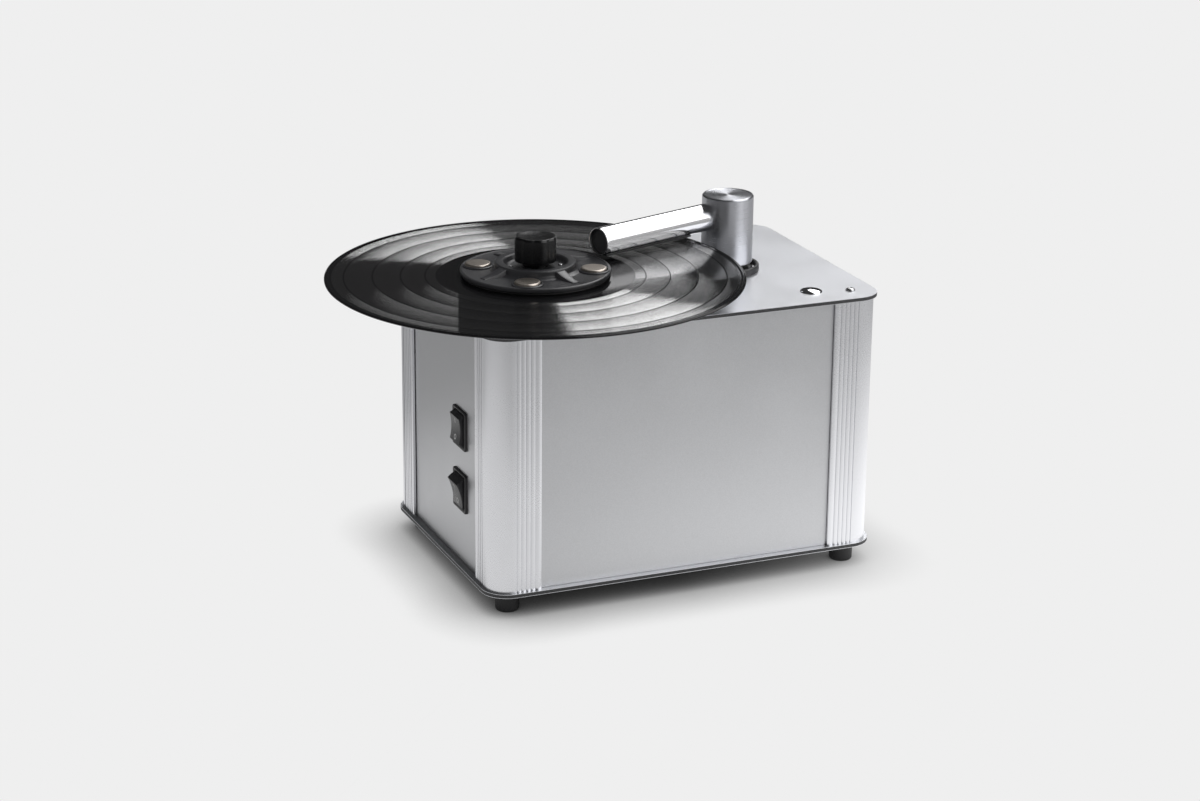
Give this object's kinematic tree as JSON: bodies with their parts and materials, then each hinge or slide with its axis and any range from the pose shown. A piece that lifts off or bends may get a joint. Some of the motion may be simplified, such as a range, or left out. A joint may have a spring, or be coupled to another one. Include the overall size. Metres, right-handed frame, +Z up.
{
  "type": "record cleaning machine",
  "caption": "Wet-vacuum record cleaner: metal box on rubber feet, turntable with clamped record, magnetic clamp puck, swinging suction arm on a sprung post, two rocker switches",
  "frame": {"origin": "on the floor, under the middle of the whole object's outline seen from above, record and drain included", "axes": "+X right along the long plain front panel, +Y to the back where the drain and mains inlet are, +Z up"},
  "size_m": [0.409, 0.3411, 0.2711],
  "materials": {
    "plate_core": "dark plastic core of the composite plates",
    "plate_skin": "brushed pale aluminium skin",
    "profile": "satin anodised extrusion",
    "panel": "satin anodised sheet",
    "steel_fastener": "plain steel",
    "foot_rubber": "black rubber",
    "bright_chrome": "polished",
    "black_plastic": "black, fine satin",
    "rocker_plastic": "black, slightly glossy",
    "machined_aluminium": "turned, fine lines",
    "drive_metal": "plain cast and drawn metal cases",
    "tube_metal": "polished steel tube",
    "tank_plastic": "milky plastic",
    "brass_metal": "nickel and brass fittings",
    "lever_paint": "red painted lever",
    "supply_case": "folded sheet case",
    "board_laminate": "green laminate",
    "velvet": "black pile",
    "vinyl": "black grooved vinyl",
    "clamp_black": "black anodised look",
    "magnet_nickel": "satin nickel, faintly warm"
  },
  "bodies": {
    "frame": {"top_plate_core": "plate_core", "top_plate_skins": "plate_skin", "bottom_plate_core": "plate_core", "bottom_plate_skins": "plate_skin", "profile_front_left": "profile", "profile_front_right": "profile", "profile_rear_left": "profile", "profile_rear_right": "profile", "front_panel": "panel", "rear_panel": "panel", "left_panel": "panel", "right_panel": "panel", "top_screws": "steel_fastener", "foot_screws": "steel_fastener", "feet": "foot_rubber", "dome_plug": "bright_chrome", "arm_collar": "black_plastic", "collar_screws": "steel_fastener", "riser_guide": "black_plastic", "lift_spring": "steel_fastener", "bearing_housing": "machined_aluminium", "housing_screws": "steel_fastener", "shaft_bearings": "steel_fastener", "gearbox": "drive_metal", "drive_motor": "drive_metal", "drive_screws": "steel_fastener", "vacuum_mount": "foot_rubber", "vacuum_motor": "drive_metal", "fan_case": "drive_metal", "exhaust_grille": "black_plastic", "waste_tank": "tank_plastic", "tank_gasket": "foot_rubber", "tank_lid": "tank_plastic", "lid_screws": "steel_fastener", "riser_seal": "foot_rubber", "suction_pipe": "foot_rubber", "drain_valve": "brass_metal", "mains_inlet": "black_plastic", "power_supply": "supply_case", "control_board": "board_laminate", "board_standoffs": "brass_metal", "motor_switch_bezel": "black_plastic", "vacuum_switch_bezel": "black_plastic"},
    "riser": {"suction_riser": "machined_aluminium"},
    "arm": {"arm_post": "machined_aluminium", "arm_tube": "tube_metal", "arm_end_plug": "black_plastic", "velvet_strips": "velvet"},
    "turntable": {"turntable_shaft": "steel_fastener", "platter": "machined_aluminium", "platter_mat": "foot_rubber", "record": "vinyl"},
    "clamp": {"clamp_disc": "clamp_black", "clamp_seal": "foot_rubber", "clamp_magnets": "magnet_nickel", "clamp_knob": "clamp_black"},
    "fan": {"fan_rotor": "machined_aluminium"},
    "motor_switch": {"motor_rocker": "rocker_plastic"},
    "vacuum_switch": {"vacuum_rocker": "rocker_plastic"},
    "drain_handle": {"drain_lever": "lever_paint"}
  },
  "joints": [
    {"name": "turntable_spin", "type": "hinge", "parent": "frame", "child": "turntable", "pos_m": [-0.05375, -0.01975, 0.235], "axis": [0, 0, 1], "continuous": true},
    {"name": "clamp_lift", "type": "slide", "parent": "turntable", "child": "clamp", "axis": [0, 0, 1], "range_m": [0, 0.06]},
    {"name": "arm_lower", "type": "slide", "parent": "frame", "child": "riser", "axis": [0, 0, -1], "range_m": [0, 0.0017], "stiffness_N_per_m": 900, "springref_m": -0.006, "deforming": ["lift_spring"]},
    {"name": "arm_swing", "type": "hinge", "parent": "riser", "child": "arm", "pos_m": [0.12265, 0.0341, 0.245], "axis": [0, 0, 1], "range_deg": [-110, 6]},
    {"name": "fan_spin", "type": "hinge", "parent": "frame", "child": "fan", "pos_m": [0.00955, 0.0801, 0.0935], "axis": [0, 0, 1], "continuous": true},
    {"name": "motor_rocker_tilt", "type": "hinge", "parent": "frame", "child": "motor_switch", "pos_m": [-0.09965, 0.0056, 0.123], "axis": [0, 1, 0], "range_deg": [-13, 13]},
    {"name": "vacuum_rocker_tilt", "type": "hinge", "parent": "frame", "child": "vacuum_switch", "pos_m": [-0.09965, 0.0056, 0.0745], "axis": [0, 1, 0], "range_deg": [0, 26]},
    {"name": "drain_lever_turn", "type": "hinge", "parent": "frame", "child": "drain_handle", "pos_m": [0.11155, 0.14855, 0.044], "axis": [0, 0, 1], "range_deg": [0, 90]}
  ]
}
